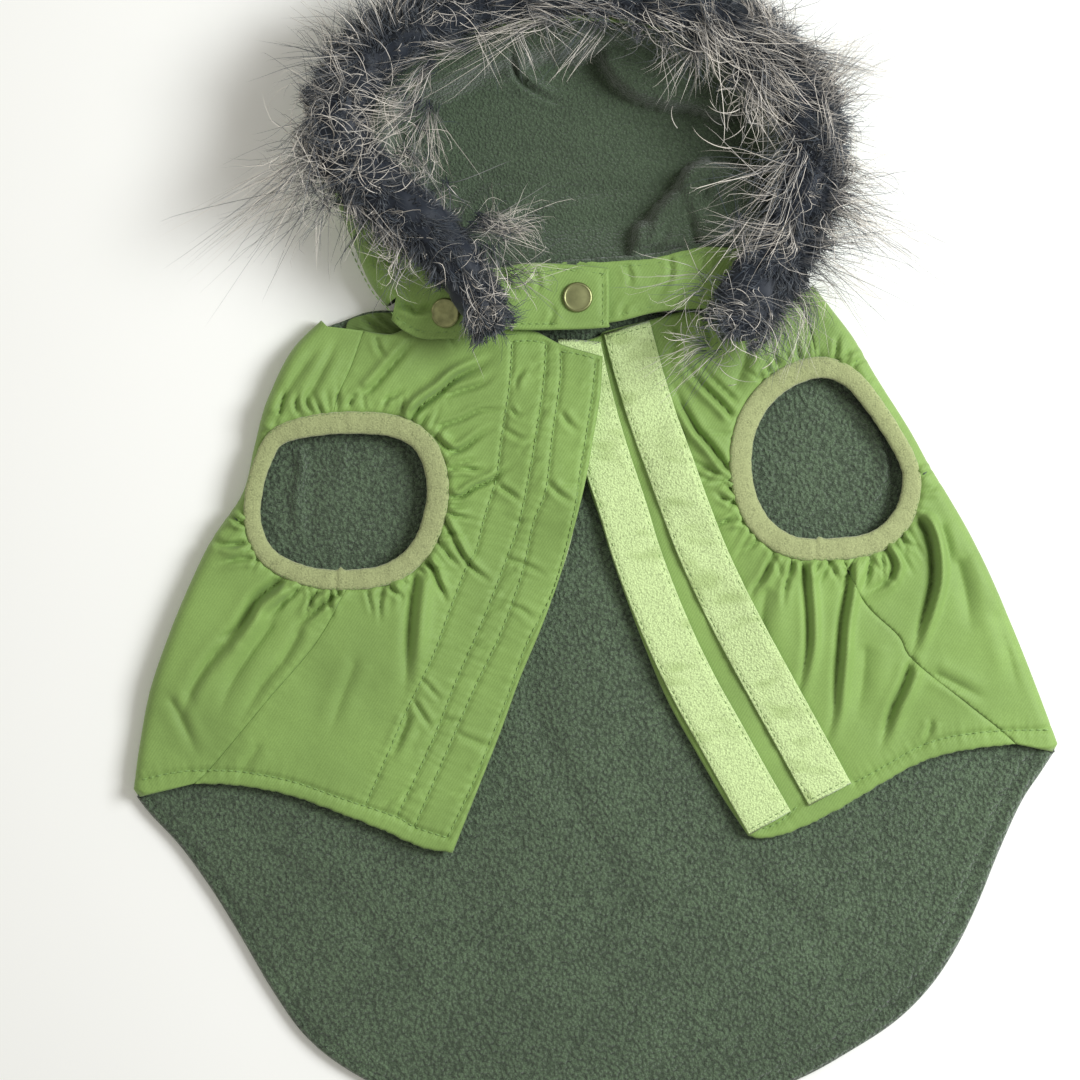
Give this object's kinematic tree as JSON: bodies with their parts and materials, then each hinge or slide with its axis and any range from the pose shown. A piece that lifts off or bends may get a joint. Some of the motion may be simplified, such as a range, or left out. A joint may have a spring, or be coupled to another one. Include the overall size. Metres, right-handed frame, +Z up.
{
  "type": "dog jacket",
  "caption": "Hooded dog jacket laid flat on its back, with open lapping fronts, bound leg holes, fastening tapes, a chin strap with snaps and a fur-trimmed hood.",
  "frame": {"origin": "centre of the laid-flat jacket's bounding box, on the surface it lies on", "axes": "+Y towards the top of the hood, +Z up out of the open front, +X to the right of a viewer who looks down on it"},
  "size_m": [0.3865, 0.4871, 0.0465],
  "materials": {
    "shell": "apple-green woven nylon with a soft sheen",
    "fleece": "dark green pebbled fleece, matte",
    "binding": "khaki ribbed binding, matte",
    "tape": "pale green hook-and-loop tape, matte",
    "fur": "grey-blue faux fur with pale tips",
    "snaps": "antiqued brass"
  },
  "bodies": {
    "root": {"back_shell": "shell", "back_lining": "fleece", "neck_facing": "shell", "front_left": "shell", "front_right": "shell", "hook_tape_1": "tape", "hook_tape_2": "tape", "loop_tape_1": "tape", "loop_tape_2": "tape", "leg_binding_left": "binding", "leg_binding_right": "binding", "hood_shell": "shell", "hood_lining": "fleece", "hood_band": "shell", "hood_tab": "shell", "fur_trim": "fur", "snap_cap_1": "snaps", "snap_cap_2": "snaps"}
  },
  "joints": []
}
